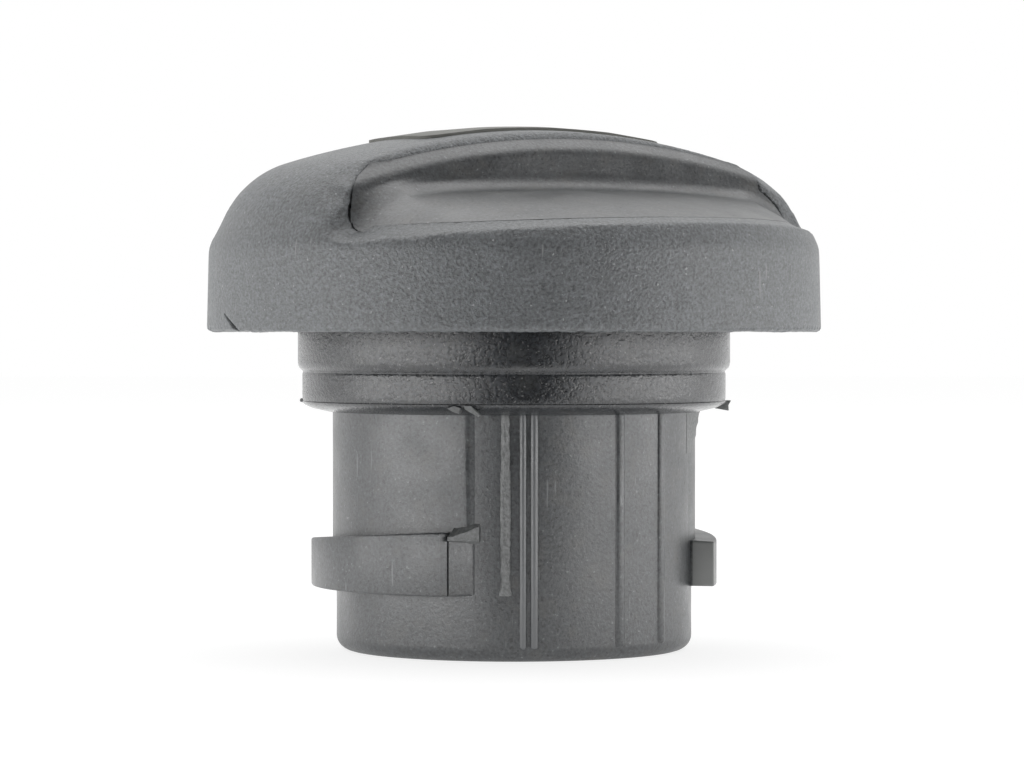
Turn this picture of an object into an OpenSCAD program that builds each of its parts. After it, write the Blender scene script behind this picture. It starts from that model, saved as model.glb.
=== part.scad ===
// Twist-lock oil filler cap: a hard plug with two cam lugs, a soft cover with a
// grip bar, skirt and sealing collar moulded over its head, and a low top pad.
// The plug's open bottom ring stands on z = 0. The camera side is -Y.

/* [Knob] */
// Outer radius of the skirt at its lower edge
knob_r = 31; // [29:0.25:34]
// Height of the skirt's lower edge above the plug's bottom ring
skirt_foot_z = 32.1; // [31:0.1:33.5]
// Height at which the skirt turns into the leaning flank
flank_foot_z = 40.5; // [40:0.1:41.5]
// Height of the crown at the axis
crown_z = 52.4; // [51.5:0.1:54]
// Radius of the crown's arc
crown_r = 79; // [65:1:110]
// Radius of the shoulder between crown and flank
shoulder_r = 9; // [7:0.5:11]
// Lean of the flank from upright, in degrees
flank_lean = 25.5; // [20:0.5:30]
// Draft of the skirt's outside, in degrees
skirt_draft = 1.4; // [0.5:0.1:2.5]
// Wall of the skirt at its lower edge
skirt_wall = 2.5; // [2:0.1:3.2]

/* [Grip] */
// Turn of the grip bar from square to the camera, in degrees
grip_turn = 31.5; // [0:0.5:60]
// Half the width of the bar where its crest starts to roll off
crest_half = 9; // [8:0.1:10]
// Depth of the soft cover's rolled edge along the crest
crest_drop = 0.8; // [0.5:0.05:1.2]
// Width of the sloping ledge below the crest
ledge_w = 1.3; // [0.8:0.1:1.8]
// Drop of the sloping ledge
ledge_drop = 1.05; // [0.6:0.05:1.4]
// Height of the scoop floor where it meets the wall of the bar
scoop_floor_z = 46.1; // [45.5:0.1:47]
// Radius of the scoop floor, across the bar
scoop_floor_r = 84; // [70:1:100]
// Distance of the scoop floor's highest line from the axis
scoop_floor_peak = 4.4; // [3:0.1:6]
// Radius of the scoop along the bar
scoop_along_r = 88; // [75:1:100]
// Shift of the scoop's highest place along the bar
scoop_shift = 1.2; // [0:0.1:2]
// Radius between the wall of the bar and the scoop floor
scoop_fillet = 2.2; // [1:0.1:3]

/* [Head] */
// Thickness of the soft cover over the head
skin_t = 1.6; // [1.2:0.1:2]
// Radius of the hard head disc
disc_r = 27.5; // [26.5:0.1:28]
// Height of the roof of the recess inside the skirt
recess_roof_z = 38; // [37.2:0.1:38.4]
// Thickness of the soft web under the head disc
web_t = 1.4; // [1:0.1:1.8]
// Radius at which the hard scoop floor meets the soft rim
window_r = 28.2; // [27.8:0.1:28.6]
// Half the length of the scoop's window in the soft cover
window_half = 24.8; // [23:0.1:25.5]
// Lowest level of the window's edge inside the rim
window_foot_z = 41; // [40.6:0.1:41.3]

/* [Collar] */
// Wall of the sealing collar, around the plug
collar_wall = 3.9; // [3.2:0.05:4.6]
// Width of the collar's step
collar_step_w = 0.45; // [0.25:0.05:0.7]
// Height of the step's upper edge
collar_step_z = 28.75; // [27:0.05:30]
// Height of the step
collar_step_h = 0.6; // [0.3:0.05:1]
// Height of the collar's lower corner
collar_corner_z = 25.1; // [24.6:0.05:26]
// Height at which the collar's underside meets the plug
collar_foot_z = 24; // [23:0.1:24.3]

/* [Plug] */
// Outer radius of the plug
plug_r = 17.95; // [17:0.05:18.5]
// Wall of the plug
plug_wall = 2.35; // [1.8:0.05:2.8]
// Radius of the rounded lower edge
foot_round = 1.5; // [0.8:0.1:2]
// Height of the roof inside the plug
plug_roof_z = 36; // [34:0.1:37]
// Height of the raised pads above the lugs
pad_h = 0.38; // [0.2:0.02:0.6]
// Half the width of the hollow in the grip bar
grip_hollow_half = 6.5; // [5:0.1:7]
// Half the length of the hollow in the grip bar
grip_hollow_long = 12.5; // [10:0.1:13]
// Height of the roof of the hollow in the grip bar
grip_hollow_z = 47; // [44:0.1:48]

/* [Lugs] */
// Reach of the cam lugs beyond the plug
lug_reach = 2.55; // [1.9:0.05:3]
// Height of the underside of the lugs
lug_foot_z = 6.5; // [5:0.1:8]
// Thickness of a lug at its thin end
lug_thin = 4.5; // [3.5:0.1:5.2]
// Thickness of a lug at its thick end
lug_thick = 6.2; // [5.3:0.1:7.5]
// Azimuth of a lug's thin end, in degrees to the right of the camera
lug_start = -101; // [-110:1:-90]
// Azimuth at which the lug's run-out starts
lug_end = -20.6; // [-30:0.2:-18]
// Angle taken by the run-out, in degrees
lug_runout = 9.5; // [6:0.5:12]

/* [Ribs] */
// Azimuths of the round ribs on each half of the plug
rib_azimuths = [4.4, 35.2, 53.9];
// Width of a round rib
rib_w = 1.7; // [1.2:0.1:2.2]
// Height of a round rib above the plug
rib_h = 0.3; // [0.2:0.05:0.45]
// Height of the lower end of the ribs
rib_foot_z = 1.3; // [0.8:0.1:4]
// Azimuth of the torn mould line
flash_azimuth = -2.6; // [-4:0.2:0]
// Width of the torn mould line
flash_w = 1.2; // [0.8:0.1:1.6]
// Height of the torn mould line above the plug
flash_h = 0.25; // [0.15:0.05:0.4]

/* [Top pad] */
// Width of the pad across the bar
top_pad_w = 13; // [10:0.5:15]
// Length of the pad along the bar
top_pad_l = 28; // [22:0.5:32]
// Thickness of the pad
top_pad_t = 0.3; // [0.2:0.05:0.6]
// Radius of the pad's corners
top_pad_corner = 2; // [1:0.5:4]

/* [Hidden] */
$fn = 120;
core_black = [0.17, 0.17, 0.18];
cover_black = [0.24, 0.24, 0.25];
pad_grey = [0.32, 0.32, 0.31];
above_all = 70;
lap = 0.01;
kink_round = 3;
recess_draft = 0.3;
window_setback = 0.07;
collar_draft = 0.05;
collar_nose = 0.85;
collar_root = 0.3;
crown_centre = [0, crown_z - crown_r];
flank_foot_r = knob_r - (flank_foot_z - skirt_foot_z) * tan(skirt_draft);
disc_foot_z = recess_roof_z + web_t;
bore_r = plug_r - plug_wall;
collar_r = plug_r + collar_wall;
collar_low_r = collar_r - collar_step_w;
pad_r = plug_r + pad_h;
lug_r = plug_r + lug_reach;
lug_mid = (lug_start + lug_end) / 2;
pad_setback = 1.6;

function arc(centre, r, from, to, steps) =
    [for (i = [0:steps]) let (a = from + (to - from) * i / steps)
        centre + r * [cos(a), sin(a)]];
function unit(a) = [cos(a), sin(a)];

// The shoulder arc touches the flank line and the crown arc from inside.
flank_foot = [flank_foot_r, flank_foot_z];
flank_up = unit(90 + flank_lean);
shoulder_base = flank_foot - shoulder_r * unit(flank_lean) - crown_centre;
shoulder_b = shoulder_base * flank_up;
shoulder_c = shoulder_base * shoulder_base - pow(crown_r - shoulder_r, 2);
shoulder_run = -shoulder_b + sqrt(shoulder_b * shoulder_b - shoulder_c);
shoulder_centre = crown_centre + shoulder_base + shoulder_run * flank_up;
crown_edge = atan2(shoulder_centre[1] - crown_centre[1], shoulder_centre[0]);

// Outline of the knob from the flank's foot to the axis, drawn in by `inset`.
function dome_outline(inset) = concat(
    arc(shoulder_centre, shoulder_r - inset, flank_lean, crown_edge, 6),
    arc(crown_centre, crown_r - inset, crown_edge, 90, 5));

kink_centre = flank_foot
    - kink_round / cos((flank_lean - skirt_draft) / 2) * unit((flank_lean + skirt_draft) / 2);

module knob_envelope() {
    rotate_extrude()
        polygon(concat(
            [[0, skirt_foot_z], [knob_r, skirt_foot_z]],
            arc(kink_centre, kink_round, skirt_draft, flank_lean, 3),
            dome_outline(0)));
}

// Local frame of a scoop: +X across the bar, +Y along the bar.
module at_azimuth(a) {
    rotate([0, 0, a - 90]) children();
}
module both_sides() {
    for (turn = [0, 180]) rotate([0, 0, turn]) children();
}

// Sweeps a profile of [height above the axis, distance across] on an arc along the bar.
module sweep_along(axis_y, axis_z, reach) {
    translate([0, axis_y, axis_z])
        rotate([0, 90, 0])
            rotate([0, 0, 180 - reach])
                rotate_extrude(angle = 2 * reach)
                    children();
}

crest_z = crown_centre[1] + sqrt(pow(crown_r, 2) - pow(crest_half, 2));
roll_lean = 35;
seam_x = crest_half + crest_drop * tan(roll_lean);
seam_z = crest_z - crest_drop;
wall_top = [seam_x + ledge_w, seam_z - ledge_drop];
wall_lean = 6;
roll_w = 0.6;
roll_start = [crest_half - roll_w, crest_z + roll_w / 5];
roll_turn = [crest_half, crest_z - roll_w / 7.5];
wall_run = 0.4;
wall_foot_x = wall_top[0] + wall_run;
floor_centre = [scoop_floor_peak, scoop_floor_z
    - sqrt(pow(scoop_floor_r, 2) - pow(wall_foot_x - scoop_floor_peak, 2))];
fillet_x = wall_foot_x + scoop_fillet;
fillet_z = floor_centre[1]
    + sqrt(pow(scoop_floor_r + scoop_fillet, 2) - pow(fillet_x - scoop_floor_peak, 2));
fillet_turn = atan2(fillet_x - floor_centre[0], fillet_z - floor_centre[1]);
scoop_axis_z = crown_z - scoop_along_r;
scoop_reach = 30;
floor_edge = acos((1.15 * knob_r - scoop_floor_peak) / scoop_floor_r);

// Section of one scoop: crest roll-off, ledge, wall, fillet and domed floor.
scoop_section = concat(
    [[roll_start[0], above_all], roll_start, roll_turn, [seam_x, seam_z], wall_top],
    arc([fillet_x, fillet_z], scoop_fillet, 180 + wall_lean, 270 - fillet_turn, 4),
    arc(floor_centre, scoop_floor_r, 90 - fillet_turn, floor_edge, 5),
    [[floor_centre[0] + scoop_floor_r * cos(floor_edge), above_all]]);

module scoop() {
    at_azimuth(grip_turn)
        sweep_along(scoop_shift, scoop_axis_z, scoop_reach)
            polygon([for (p = scoop_section) [p[1] - scoop_axis_z, p[0]]]);
}

module knob_body() {
    difference() {
        knob_envelope();
        both_sides() scoop();
    }
}

// The hard head fills the cover up to its skin, and shows in both scoop windows.
module head_space() {
    intersection() {
        rotate_extrude()
            polygon(concat(
                [[0, disc_foot_z], [flank_foot_r - skin_t, disc_foot_z]],
                dome_outline(skin_t)));
        cylinder(r = disc_r, h = above_all);
    }
    both_sides() at_azimuth(grip_turn)
        translate([0, 0, window_foot_z])
            linear_extrude(above_all - window_foot_z)
                intersection() {
                    circle(window_r);
                    translate([seam_x - window_setback, -window_half])
                        square([window_r, 2 * window_half]);
                }
}

// The collar's underside slopes up from the plug to a slightly rounded corner.
module collar() {
    corner = [collar_low_r - collar_draft, collar_corner_z];
    rotate_extrude()
        polygon([
            [plug_r, collar_foot_z], [pad_r + collar_root, collar_foot_z],
            corner - [collar_nose, collar_nose * 0.9], corner - [collar_draft, collar_nose * 0.25],
            corner,
            [collar_low_r, collar_step_z - collar_step_h], [collar_r, collar_step_z],
            [collar_r, disc_foot_z], [plug_r, disc_foot_z]]);
}

module soft_cover() {
    color(cover_black) {
        difference() {
            knob_body();
            head_space();
            translate([0, 0, skirt_foot_z - 1])
                cylinder(r1 = knob_r - skirt_wall, r2 = knob_r - skirt_wall - recess_draft,
                    h = recess_roof_z - skirt_foot_z + 1);
            cylinder(r = plug_r, h = disc_foot_z + lap);
        }
        collar();
    }
}

module crown_shape(inset) {
    rotate_extrude()
        polygon(concat([[0, shoulder_centre[1]]], dome_outline(inset)));
}

// The pad follows the crown: its outline cuts a thin layer of the crown's own form.
module top_pad() {
    color(pad_grey)
        at_azimuth(grip_turn)
            difference() {
                intersection() {
                    crown_shape(-top_pad_t);
                    translate([0, 0, shoulder_centre[1] + 1])
                        linear_extrude(above_all - shoulder_centre[1])
                            pad_outline();
                }
                crown_shape(0);
            }
}

module pad_outline() {
    w = top_pad_w / 2 - top_pad_corner;
    l = top_pad_l / 2 - top_pad_corner;
    square([top_pad_w, 2 * l], center = true);
    square([2 * w, top_pad_l], center = true);
    for (x = [-w, w], y = [-l, l]) translate([x, y]) circle(top_pad_corner);
}

// A wide pie slice between two azimuths, with an optional last edge of its own.
module sector(from, to, last_edge) {
    polygon(concat([[0, 0]], arc([0, 0], 2 * lug_r, from - 90, to - 90, 4), last_edge));
}

// One cam lug: level underside, rising top, and a run-out that falls to the plug.
module lug() {
    rise = (lug_thick - lug_thin) / 2;
    half = (lug_end - lug_start) / 2;
    tilt = atan(rise / (lug_r * sin(half)));
    runout_top = lug_r * unit(lug_end - 90);
    runout_foot = (plug_r - rib_h) * unit(lug_end + lug_runout - 90);
    difference() {
        translate([0, 0, lug_foot_z])
            linear_extrude(2 * lug_thick)
                intersection() {
                    circle(lug_r);
                    sector(lug_start, lug_end - 2 * lug_runout,
                        [2 * runout_top - runout_foot, runout_foot]);
                }
        translate([0, 0, lug_foot_z + (lug_thin + lug_thick) / 2])
            at_azimuth(lug_mid)
                rotate([tilt, 0, 0])
                    translate([-above_all / 2, -above_all / 2, 0]) cube(above_all);
    }
}

module raised_pad() {
    translate([0, 0, lug_foot_z])
        linear_extrude(collar_foot_z - lug_foot_z)
            intersection() {
                circle(pad_r);
                sector(lug_start + pad_setback, lug_end + lug_runout - pad_setback, []);
            }
}

module round_rib(a) {
    r = (pow(rib_w / 2, 2) + rib_h * rib_h) / (2 * rib_h);
    at_azimuth(a)
        translate([plug_r + rib_h - r, 0, rib_foot_z])
            cylinder(r = r, h = collar_foot_z - rib_foot_z, $fn = 32);
}

module flash_line() {
    at_azimuth(flash_azimuth)
        translate([bore_r, -flash_w / 2, lug_foot_z])
            cube([plug_wall + flash_h, flash_w, collar_foot_z - lug_foot_z]);
}

module plug_outside() {
    rotate_extrude()
        polygon(concat(
            [[0, 0]],
            arc([plug_r - foot_round, foot_round], foot_round, -90, 0, 5),
            [[plug_r, disc_foot_z + lap], [0, disc_foot_z + lap]]));
    both_sides() {
        lug();
        raised_pad();
        flash_line();
        for (a = rib_azimuths) round_rib(a);
    }
}

module grip_hollow() {
    translate([-grip_hollow_half, -grip_hollow_long, plug_roof_z - 1])
        cube([2 * grip_hollow_half, 2 * grip_hollow_long, grip_hollow_z - plug_roof_z + 1]);
}

module plug_core() {
    color(core_black)
        difference() {
            union() {
                plug_outside();
                intersection() {
                    knob_body();
                    head_space();
                }
            }
            translate([0, 0, -1]) cylinder(r = bore_r, h = plug_roof_z + 1);
            at_azimuth(grip_turn) grip_hollow();
        }
}

plug_core();
soft_cover();
top_pad();
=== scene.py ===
"""Looks of the oil filler cap: its finishes, its soft rolled edges and torn flash, and the studio.

Everything is in metres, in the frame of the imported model: +Z up, the camera side is -Y.
"""
import math

import bmesh
import bpy
from mathutils import Euler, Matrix, Vector, noise as pattern
from mathutils.geometry import intersect_point_line


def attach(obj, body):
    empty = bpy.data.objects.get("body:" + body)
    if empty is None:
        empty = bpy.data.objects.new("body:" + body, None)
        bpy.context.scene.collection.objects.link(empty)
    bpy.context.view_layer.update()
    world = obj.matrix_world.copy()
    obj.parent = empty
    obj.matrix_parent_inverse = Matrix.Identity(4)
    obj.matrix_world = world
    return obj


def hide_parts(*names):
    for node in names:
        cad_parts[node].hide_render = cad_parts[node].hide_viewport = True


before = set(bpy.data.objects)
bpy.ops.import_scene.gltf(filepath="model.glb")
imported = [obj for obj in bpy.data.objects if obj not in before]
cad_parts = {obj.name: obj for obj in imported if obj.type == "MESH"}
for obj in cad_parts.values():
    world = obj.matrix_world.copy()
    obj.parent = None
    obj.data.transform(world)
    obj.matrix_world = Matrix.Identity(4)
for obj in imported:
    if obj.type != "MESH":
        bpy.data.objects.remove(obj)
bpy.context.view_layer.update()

MM = 0.001
ROUND_STEPS = 288


# Camera and studio

# Brightness of the light tent, from its dark opening for the camera to its back and top
TENT_WALLS = [(0.05, 0.02), (0.40, 0.03), (0.55, 0.30), (0.80, 0.85), (0.90, 1.2), (1.0, 1.7)]
TENT_RISE = 0.6
# Two low soft boxes, as (azimuth, width, height, middle, radiance), and one above
SIDE_BOXES = [(-57, 0.8, 0.14, 0.05, 3.75), (71, 0.8, 0.14, 0.05, 3.2)]
BOX_DISTANCE = 0.5
TOP_BOX_AT, TOP_BOX_SIZE, TOP_BOX_RADIANCE = (0, 0.15, 0.7), 0.9, 0.9
SOFTBOX_AIM = (0, 0, 0.03)
# The table glows a little, but not in the dark wedge between the camera and the cap
TABLE_DARK, TABLE_PALE, TABLE_GLOW = 0.05, 0.9, 0.5
WEDGE_FROM, WEDGE_TO = -0.075, -0.035
# What the camera sees of the floor: nearly white, with the cap's shadow
FLOOR_SIZE, FLOOR_TINT, FLOOR_GLOW = 4, 0.3, 0.8

# Measured from the curve of the rims in the photo
CAMERA_AT = Vector((-0.2, -400, 33)) * MM
CAMERA_PITCH = 0.91
CAMERA_LENS = 138.9
SENSOR_W = 36


def add_camera():
    """The camera that the photo was taken with."""
    data = bpy.data.cameras.new("photo_camera")
    data.lens = CAMERA_LENS
    data.sensor_width = SENSOR_W
    data.clip_start = 0.01
    data.clip_end = 20
    camera = bpy.data.objects.new("photo_camera", data)
    bpy.context.scene.collection.objects.link(camera)
    camera.location = CAMERA_AT
    camera.rotation_euler = (math.radians(90 - CAMERA_PITCH), 0, 0)
    bpy.context.scene.camera = camera


def node(tree, kind, at=(0, 0), **inputs):
    """A shader node of that kind, with the named sockets set or linked."""
    made = tree.nodes.new(kind)
    made.location = at
    for name, value in inputs.items():
        socket = made.inputs[name.replace("_", " ")]
        if isinstance(value, bpy.types.NodeSocket):
            tree.links.new(value, socket)
        else:
            socket.default_value = value
    return made


def maths(tree, kind, *values, at):
    """A maths node: each value is a number or a socket."""
    made = node(tree, "ShaderNodeMath", at)
    made.operation = kind
    for socket, value in zip(made.inputs, values):
        if isinstance(value, bpy.types.NodeSocket):
            tree.links.new(value, socket)
        else:
            socket.default_value = value
    return made.outputs[0]


def stretch(tree, value, low, high, at):
    """Goes from 0 to 1 as the value goes from low to high."""
    made = node(tree, "ShaderNodeMapRange", at, Value=value)
    made.inputs["From Min"].default_value = low
    made.inputs["From Max"].default_value = high
    return made.outputs["Result"]


def seen_by_camera(tree, otherwise, seen, out_kind, at):
    """Sends one shader to the camera and another to all else."""
    path = node(tree, "ShaderNodeLightPath", (at[0], at[1] + 300))
    mix = node(tree, "ShaderNodeMixShader", at, Fac=path.outputs["Is Camera Ray"])
    tree.links.new(otherwise.outputs[0], mix.inputs[1])
    tree.links.new(seen.outputs[0], mix.inputs[2])
    out = node(tree, out_kind, (at[0] + 200, at[1]))
    tree.links.new(mix.outputs[0], out.inputs["Surface"])


def both_of(tree, first, second, at):
    """Two shaders added up."""
    made = node(tree, "ShaderNodeAddShader", at)
    tree.links.new(first.outputs[0], made.inputs[0])
    tree.links.new(second.outputs[0], made.inputs[1])
    return made


def add_world():
    """Soft light from behind, above and both sides, and less from the camera's side."""
    world = bpy.data.worlds.new("light_tent")
    world.use_nodes = True
    tree = world.node_tree
    tree.nodes.clear()
    place = node(tree, "ShaderNodeTexCoord", (-900, 0))
    axes = node(tree, "ShaderNodeSeparateXYZ", (-700, 0), Vector=place.outputs["Generated"])
    height = maths(tree, "MULTIPLY_ADD", axes.outputs["Z"], TENT_RISE, axes.outputs["Y"],
                   at=(-550, -150))
    walls = node(tree, "ShaderNodeValToRGB", (-250, 0),
                 Fac=stretch(tree, height, -1, 1, (-400, 0)))
    for spot, grey in TENT_WALLS:
        walls.color_ramp.elements.new(spot).color = (grey, grey, grey, 1)
    walls.color_ramp.elements.remove(walls.color_ramp.elements[0])
    walls.color_ramp.elements.remove(walls.color_ramp.elements[-1])
    tent = node(tree, "ShaderNodeBackground", (0, 0), Color=walls.outputs["Color"], Strength=1.0)
    white = node(tree, "ShaderNodeBackground", (0, -200), Color=(1, 1, 1, 1), Strength=1.0)
    seen_by_camera(tree, tent, white, "ShaderNodeOutputWorld", (250, 0))
    bpy.context.scene.world = world


def add_softbox(name, at, width, height, radiance, aim):
    """An area lamp that shows as evenly bright as that radiance."""
    data = bpy.data.lights.new(name, "AREA")
    data.shape = "RECTANGLE"
    data.size = width
    data.size_y = height
    data.energy = radiance * math.pi * width * height
    lamp = bpy.data.objects.new(name, data)
    bpy.context.scene.collection.objects.link(lamp)
    lamp.location = at
    lamp.rotation_euler = (Vector(aim) - Vector(at)).to_track_quat("-Z", "Y").to_euler()


def add_softboxes():
    """The boxes low on both sides, and the one above."""
    for azimuth, width, height, middle, radiance in SIDE_BOXES:
        side, front = math.sin(math.radians(azimuth)), -math.cos(math.radians(azimuth))
        add_softbox("side_softbox", (BOX_DISTANCE * side, BOX_DISTANCE * front, middle),
                    width, height, radiance, (0, 0, middle))
    add_softbox("top_softbox", TOP_BOX_AT, TOP_BOX_SIZE, TOP_BOX_SIZE, TOP_BOX_RADIANCE,
                SOFTBOX_AIM)


def add_floor():
    """A pale floor: it shows white to the camera and keeps the cap's shadow."""
    bpy.ops.object.select_all(action="DESELECT")
    bpy.ops.mesh.primitive_plane_add(size=FLOOR_SIZE, location=(0, 0, 0))
    floor = bpy.context.object
    floor.name = "floor"
    material = bpy.data.materials.new("pale_floor")
    material.use_nodes = True
    tree = material.node_tree
    tree.nodes.clear()
    place = node(tree, "ShaderNodeTexCoord", (-700, 0))
    axes = node(tree, "ShaderNodeSeparateXYZ", (-500, 0), Vector=place.outputs["Object"])
    aside = maths(tree, "ABSOLUTE", axes.outputs["X"], at=(-400, -150))
    wedge = maths(tree, "ADD", aside, axes.outputs["Y"], at=(-300, -150))
    table = ramp(tree, stretch(tree, wedge, WEDGE_FROM, WEDGE_TO, (-150, -150)), 0, 1,
                 TABLE_DARK, TABLE_PALE, (0, -150))
    paint = node(tree, "ShaderNodeBsdfDiffuse", (200, 100), Color=table)
    shine = node(tree, "ShaderNodeEmission", (200, 0), Color=table, Strength=TABLE_GLOW)
    thin = node(tree, "ShaderNodeBsdfDiffuse", (0, -150),
                Color=(FLOOR_TINT, FLOOR_TINT, FLOOR_TINT, 1))
    glow = node(tree, "ShaderNodeEmission", (0, -300), Color=(1, 1, 1, 1),
                Strength=FLOOR_GLOW)
    seen_by_camera(tree, both_of(tree, paint, shine, (350, 100)),
                   both_of(tree, thin, glow, (250, -200)), "ShaderNodeOutputMaterial",
                   (450, 0))
    floor.data.materials.append(material)


# Finishes

# Set to the photo's sheen
SURFACE_IOR = 1.9
COLLAR_IOR = 1.75
PAD_IOR = 1.5
DUST = (0.30, 0.31, 0.31, 1)
# Places painted pale, as (ratio of x to y, its half width, radius, colour): the front ribs are
# rubbed pale and painted lighter as a painted highlight, and the lugs' square ends are painted
# light where the plug blocks their reflection
RIBS_RUBBED_AND_PAINTED_LIGHT = (-0.079, 0.062, 18.04, (0.115, 0.12, 0.125, 1))
LUG_ENDS_PAINTED_LIGHT = (-5.0, 0.75, 18.25, (0.20, 0.205, 0.20, 1))
PAINTED_PALE_BELOW, PAINTED_PALE_EDGE = 25, 0.08


def new_finish(name, ior):
    """A new material with its node tree, its shader and the place on the object."""
    material = bpy.data.materials.new(name)
    material.use_nodes = True
    tree = material.node_tree
    tree.nodes.clear()
    skin = node(tree, "ShaderNodeBsdfPrincipled", (600, 0), IOR=ior)
    out = node(tree, "ShaderNodeOutputMaterial", (900, 0))
    tree.links.new(skin.outputs[0], out.inputs["Surface"])
    place = node(tree, "ShaderNodeTexCoord", (-1200, 0))
    return material, tree, skin, place.outputs["Object"]


def noise(tree, place, size_mm, at=(0, 0), detail=2.0, rough=0.5):
    """Noise whose blots are about that size."""
    made = node(tree, "ShaderNodeTexNoise", at, Vector=place, Scale=1 / (size_mm * MM),
                Detail=detail, Roughness=rough)
    return made.outputs["Fac"]


def ramp(tree, value, low, high, dark, light, at=(0, 0)):
    """Goes from dark to light as value goes from low to high."""
    made = node(tree, "ShaderNodeValToRGB", at, Fac=value)
    for element, spot, grey in zip(made.color_ramp.elements, (low, high), (dark, light)):
        element.position = spot
        element.color = (*grey, 1) if isinstance(grey, tuple) else (grey, grey, grey, 1)
    return made.outputs["Color"]


def blend(tree, kind, fac, a, b, at=(0, 0)):
    """Mixes two colours; each value is a socket or a constant."""
    made = tree.nodes.new("ShaderNodeMix")
    made.data_type = "RGBA"
    made.blend_type = kind
    made.location = at
    for socket, value in ((made.inputs[0], fac), (made.inputs[6], a), (made.inputs[7], b)):
        if isinstance(value, bpy.types.NodeSocket):
            tree.links.new(value, socket)
        else:
            socket.default_value = value
    return made.outputs[2]


def layered(tree, place, skin, tint, tone, grain, cloud, rough, bump):
    """A moulded skin: fine grain and slow clouds in its colour, roughness and height.

    Tone is the lowest and highest share of the tint; grain and cloud are sizes in mm, and so
    is the second number of bump, after its strength.
    """
    fine = noise(tree, place, grain, (-900, 300), 3.0, 0.65)
    slow = noise(tree, place, cloud, (-900, 0), 4.0, 0.6)
    low, high = ([share * part for part in tint] for share in tone)
    base = ramp(tree, fine, 0.30, 0.72, tuple(low), tuple(high), (-600, 300))
    smear = ramp(tree, slow, 0.30, 0.75, 0.84, 1.16, (-600, 0))
    colour = blend(tree, "MULTIPLY", 1.0, base, smear, (-200, 200))
    tree.links.new(ramp(tree, slow, 0.3, 0.7, rough[0], rough[1], (-600, -300)),
                   skin.inputs["Roughness"])
    height = node(tree, "ShaderNodeBump", (300, -300), Height=fine, Strength=bump[0])
    height.inputs["Distance"].default_value = bump[1] * MM
    tree.links.new(height.outputs["Normal"], skin.inputs["Normal"])
    return colour


def flecks(tree, place, colour, size_mm, share, tone, at):
    """Sparse specks of that tone over the colour."""
    dots = noise(tree, place, size_mm, at, 1.0, 0.5)
    mask = ramp(tree, dots, share, share + 0.03, 0.0, 1.0, (at[0] + 250, at[1]))
    return blend(tree, "MIX", mask, colour, tone, (at[0] + 550, at[1]))


def stains(tree, place, colour, size_mm, most, tone, at):
    """Soft blots of a dried film over the colour."""
    blots = noise(tree, place, size_mm, at, 4.0, 0.6)
    mask = ramp(tree, blots, 0.52, 0.70, 0.0, most, (at[0] + 250, at[1]))
    return blend(tree, "MIX", mask, colour, tone, (at[0] + 550, at[1]))


def scratches(tree, place, colour, tone, turned, share, at):
    """Fine straight scratches, in patches: noise drawn out along one direction."""
    aside = node(tree, "ShaderNodeMapping", (at[0] - 250, at[1]), Vector=place,
                 Rotation=turned, Scale=(1, 1, 0.11))
    lines = noise(tree, aside.outputs[0], 0.45, at, 1.0, 0.5)
    patches = noise(tree, place, 5.5, (at[0], at[1] - 250), 1.0, 0.5)
    both = maths(tree, "MULTIPLY_ADD", patches, 0.35, lines, at=(at[0] + 150, at[1] - 150))
    mask = ramp(tree, both, share, share + 0.05, 0.0, 1.0, (at[0] + 300, at[1]))
    return blend(tree, "MIX", mask, colour, tone, (at[0] + 550, at[1]))


def speckled_rubber():
    """Matt black rubber with a fine speckle, dusty where hands and cloths don't reach."""
    material, tree, skin, place = new_finish("speckled_rubber", SURFACE_IOR)
    colour = layered(tree, place, skin, tint=(0.107, 0.115, 0.121), tone=(0.32, 1.70),
                     grain=0.30, cloud=4.5, rough=(0.40, 0.52), bump=(1.0, 0.13))
    colour = flecks(tree, place, colour, 0.4, 0.74, DUST, (-700, 900))
    colour = scratches(tree, place, colour, tone=(0.2, 0.205, 0.205, 1),
                       turned=(0.5, 0.9, 0.3), share=0.94, at=(-700, 1400))
    tree.links.new(colour, skin.inputs["Base Color"])
    return material


def collar_rubber():
    """The same rubber where it is polished and stained by the filler neck."""
    material, tree, skin, place = new_finish("collar_rubber", COLLAR_IOR)
    colour = layered(tree, place, skin, tint=(0.025, 0.027, 0.030), tone=(0.3, 1.9),
                     grain=0.42, cloud=3.5, rough=(0.15, 0.26), bump=(1.0, 0.09))
    colour = stains(tree, place, colour, 2.6, 0.3, (0.060, 0.061, 0.058, 1), (-700, 1300))
    colour = flecks(tree, place, colour, 0.30, 0.70, (0.13, 0.13, 0.13, 1), (-700, 900))
    tree.links.new(colour, skin.inputs["Base Color"])
    return material


def satin_plastic():
    """Smooth moulded black plastic with handling marks, mottled where oil dried on it."""
    material, tree, skin, place = new_finish("satin_plastic", SURFACE_IOR)
    colour = layered(tree, place, skin, tint=(0.044, 0.048, 0.051), tone=(0.3, 1.8),
                     grain=0.32, cloud=5.0, rough=(0.30, 0.46), bump=(0.8, 0.045))
    colour = stains(tree, place, colour, 2.4, 0.45, (0.076, 0.072, 0.064, 1), (-700, 2200))
    colour = flecks(tree, place, colour, 0.42, 0.665, (0.012, 0.012, 0.013, 1), (-700, 1800))
    colour = flecks(tree, place, colour, 0.32, 0.74, (0.17, 0.175, 0.175, 1), (-700, 900))
    colour = scratches(tree, place, colour, tone=(0.13, 0.135, 0.14, 1),
                       turned=(1.2, 0.35, 0.2), share=0.93, at=(-700, 1400))
    # Pale rib tops and lug ends: partly wear, partly painted light
    tree.links.new(worn_and_painted_light_edges(tree, place, colour), skin.inputs["Base Color"])
    return material


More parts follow.
